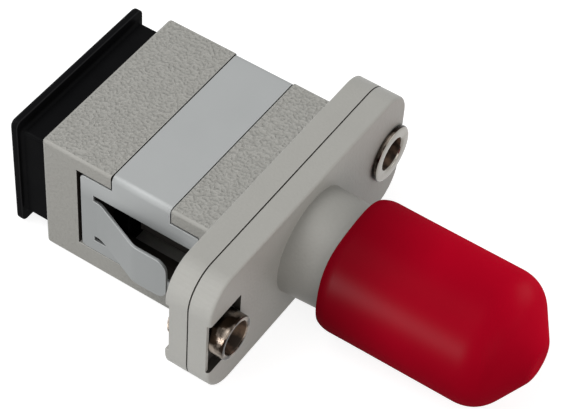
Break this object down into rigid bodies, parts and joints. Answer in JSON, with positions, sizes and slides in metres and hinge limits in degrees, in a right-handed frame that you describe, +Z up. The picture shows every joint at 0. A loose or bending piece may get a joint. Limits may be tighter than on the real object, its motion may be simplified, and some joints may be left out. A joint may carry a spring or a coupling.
{
  "type": "hybrid fibre adapter",
  "caption": "Panel adapter joining a square push-pull fibre plug to a round threaded-barrel connector, with flange, spring clip, hollow rivets and two dust covers.",
  "frame": {"origin": "on the fibre axis, in the flange's rear face, midway between the two fixing holes", "axes": "+X along the flange, +Y along the fibre axis to the square socket, +Z up, the side that the clip's strap crosses"},
  "size_m": [0.0218, 0.0343, 0.0096],
  "materials": {
    "grey_plastic": "fine spark-eroded texture on the wide faces, smooth on the sides",
    "dark_plastic": "plain moulded",
    "sleeve_bronze": "ground",
    "spring_steel": "satin rolled sheet",
    "plated_rivet": "nickel plate",
    "black_plastic": "moulded, slightly satin",
    "red_vinyl": "soft vinyl with a broad sheen"
  },
  "bodies": {
    "adapter": {"rear_housing": "grey_plastic", "front_housing": "grey_plastic", "latch_holder": "dark_plastic", "sleeve_retainer": "dark_plastic", "alignment_sleeve": "sleeve_bronze", "panel_clip": "spring_steel", "rivet_near": "plated_rivet", "rivet_far": "plated_rivet"},
    "dust_plug": {"sc_dust_plug": "black_plastic"},
    "dust_cap": {"barrel_dust_cap": "red_vinyl"}
  },
  "joints": [
    {"name": "dust_plug_pull", "type": "slide", "parent": "adapter", "child": "dust_plug", "axis": [0, 1, 0], "range_m": [0, 0.01]},
    {"name": "dust_cap_pull", "type": "slide", "parent": "adapter", "child": "dust_cap", "axis": [0, -1, 0], "range_m": [0, 0.012]}
  ]
}
